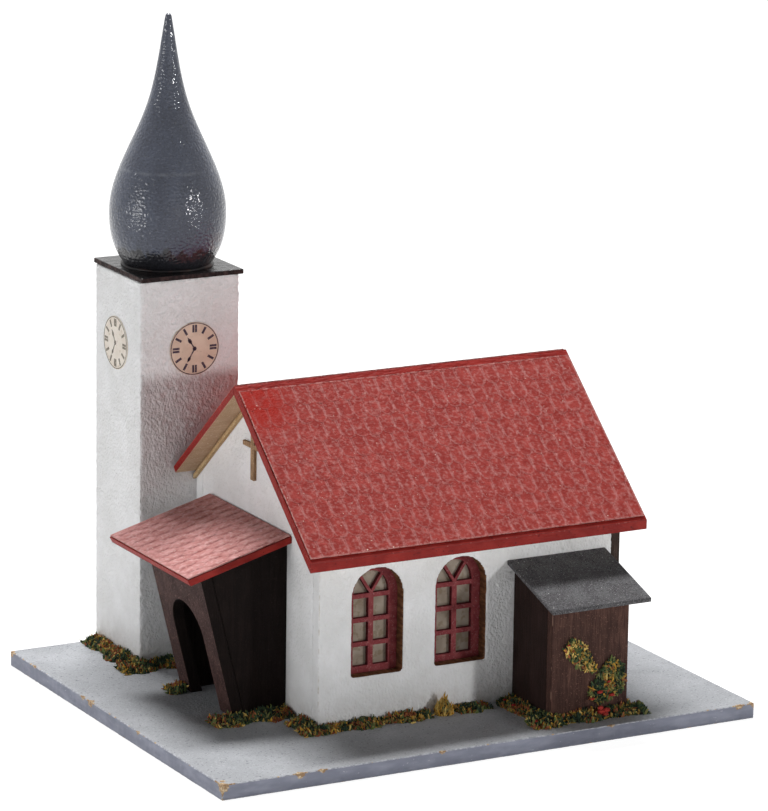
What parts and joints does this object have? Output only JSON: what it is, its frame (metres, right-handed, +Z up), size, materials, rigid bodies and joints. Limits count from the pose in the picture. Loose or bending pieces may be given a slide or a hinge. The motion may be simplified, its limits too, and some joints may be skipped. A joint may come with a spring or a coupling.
{
  "type": "wooden christmas village church",
  "caption": "Small painted wooden church for a christmas village: nave with a steep red roof, square tower with an onion dome, leaning arched porch and lean-to shed on a thin board.",
  "frame": {"origin": "middle of the footprint of the whole church, on the underside of its base board", "axes": "+X along the nave away from the tower end, +Y from the front with the shed to the back with the tower, +Z up"},
  "size_m": [0.2, 0.1674, 0.227],
  "materials": {
    "grey_board": "matt grey paint, speckled, over thin board",
    "white_wall": "thick matt white paint, brushed rough",
    "stained_board": "dark brown stain over board",
    "dark_stain": "dark brown stain, satin",
    "red_board": "red paint on board edges, raw wood underneath",
    "tile_sheet": "embossed red tile card, worn pale on its ridges",
    "raw_wood": "raw wood",
    "window_red": "dark red print on card",
    "window_paper": "grey-beige paper",
    "cap_paint": "brown-black paint",
    "slate_paint": "slate-grey satin paint, specked",
    "dial_paper": "printed paper dial",
    "felt": "dark grey gritted paper",
    "flock": "dyed flock in greens, ochre and red"
  },
  "bodies": {
    "root": {"base_board": "grey_board", "climber_lower": "flock", "climber_upper": "flock", "clock_dial_front": "dial_paper", "clock_dial_west": "dial_paper", "cross_arm": "raw_wood", "cross_upright": "raw_wood", "flock_gable": "flock", "flock_nave_back": "flock", "flock_nave_east": "flock", "flock_nave_front": "flock", "flock_nave_front_east": "flock", "flock_porch_north": "flock", "flock_porch_south": "flock", "flock_shed_east": "flock", "flock_shed_front": "flock", "flock_shed_west": "flock", "flock_tower_front": "flock", "flock_tower_west": "flock", "flock_tuft": "flock", "gable_batten_back": "raw_wood", "gable_batten_front": "raw_wood", "nave_back_wall": "white_wall", "nave_east_gable": "stained_board", "nave_front_wall": "white_wall", "nave_west_gable": "white_wall", "onion_dome": "slate_paint", "porch_front_wall": "dark_stain", "porch_north_wall": "dark_stain", "porch_roof_board": "red_board", "porch_south_wall": "dark_stain", "porch_tile_sheet": "tile_sheet", "roof_board_back": "red_board", "roof_board_front": "red_board", "roof_tile_sheet_back": "tile_sheet", "roof_tile_sheet_front": "tile_sheet", "shed_east_wall": "dark_stain", "shed_front_wall": "dark_stain", "shed_roof": "felt", "shed_west_wall": "dark_stain", "tower_back_wall": "white_wall", "tower_cap": "cap_paint", "tower_east_wall": "white_wall", "tower_front_wall": "white_wall", "tower_west_wall": "white_wall", "window_backing_back_1": "window_paper", "window_backing_back_2": "window_paper", "window_backing_front_1": "window_paper", "window_backing_front_2": "window_paper", "window_frame_back_1": "window_red", "window_frame_back_2": "window_red", "window_frame_front_1": "window_red", "window_frame_front_2": "window_red"}
  },
  "joints": []
}
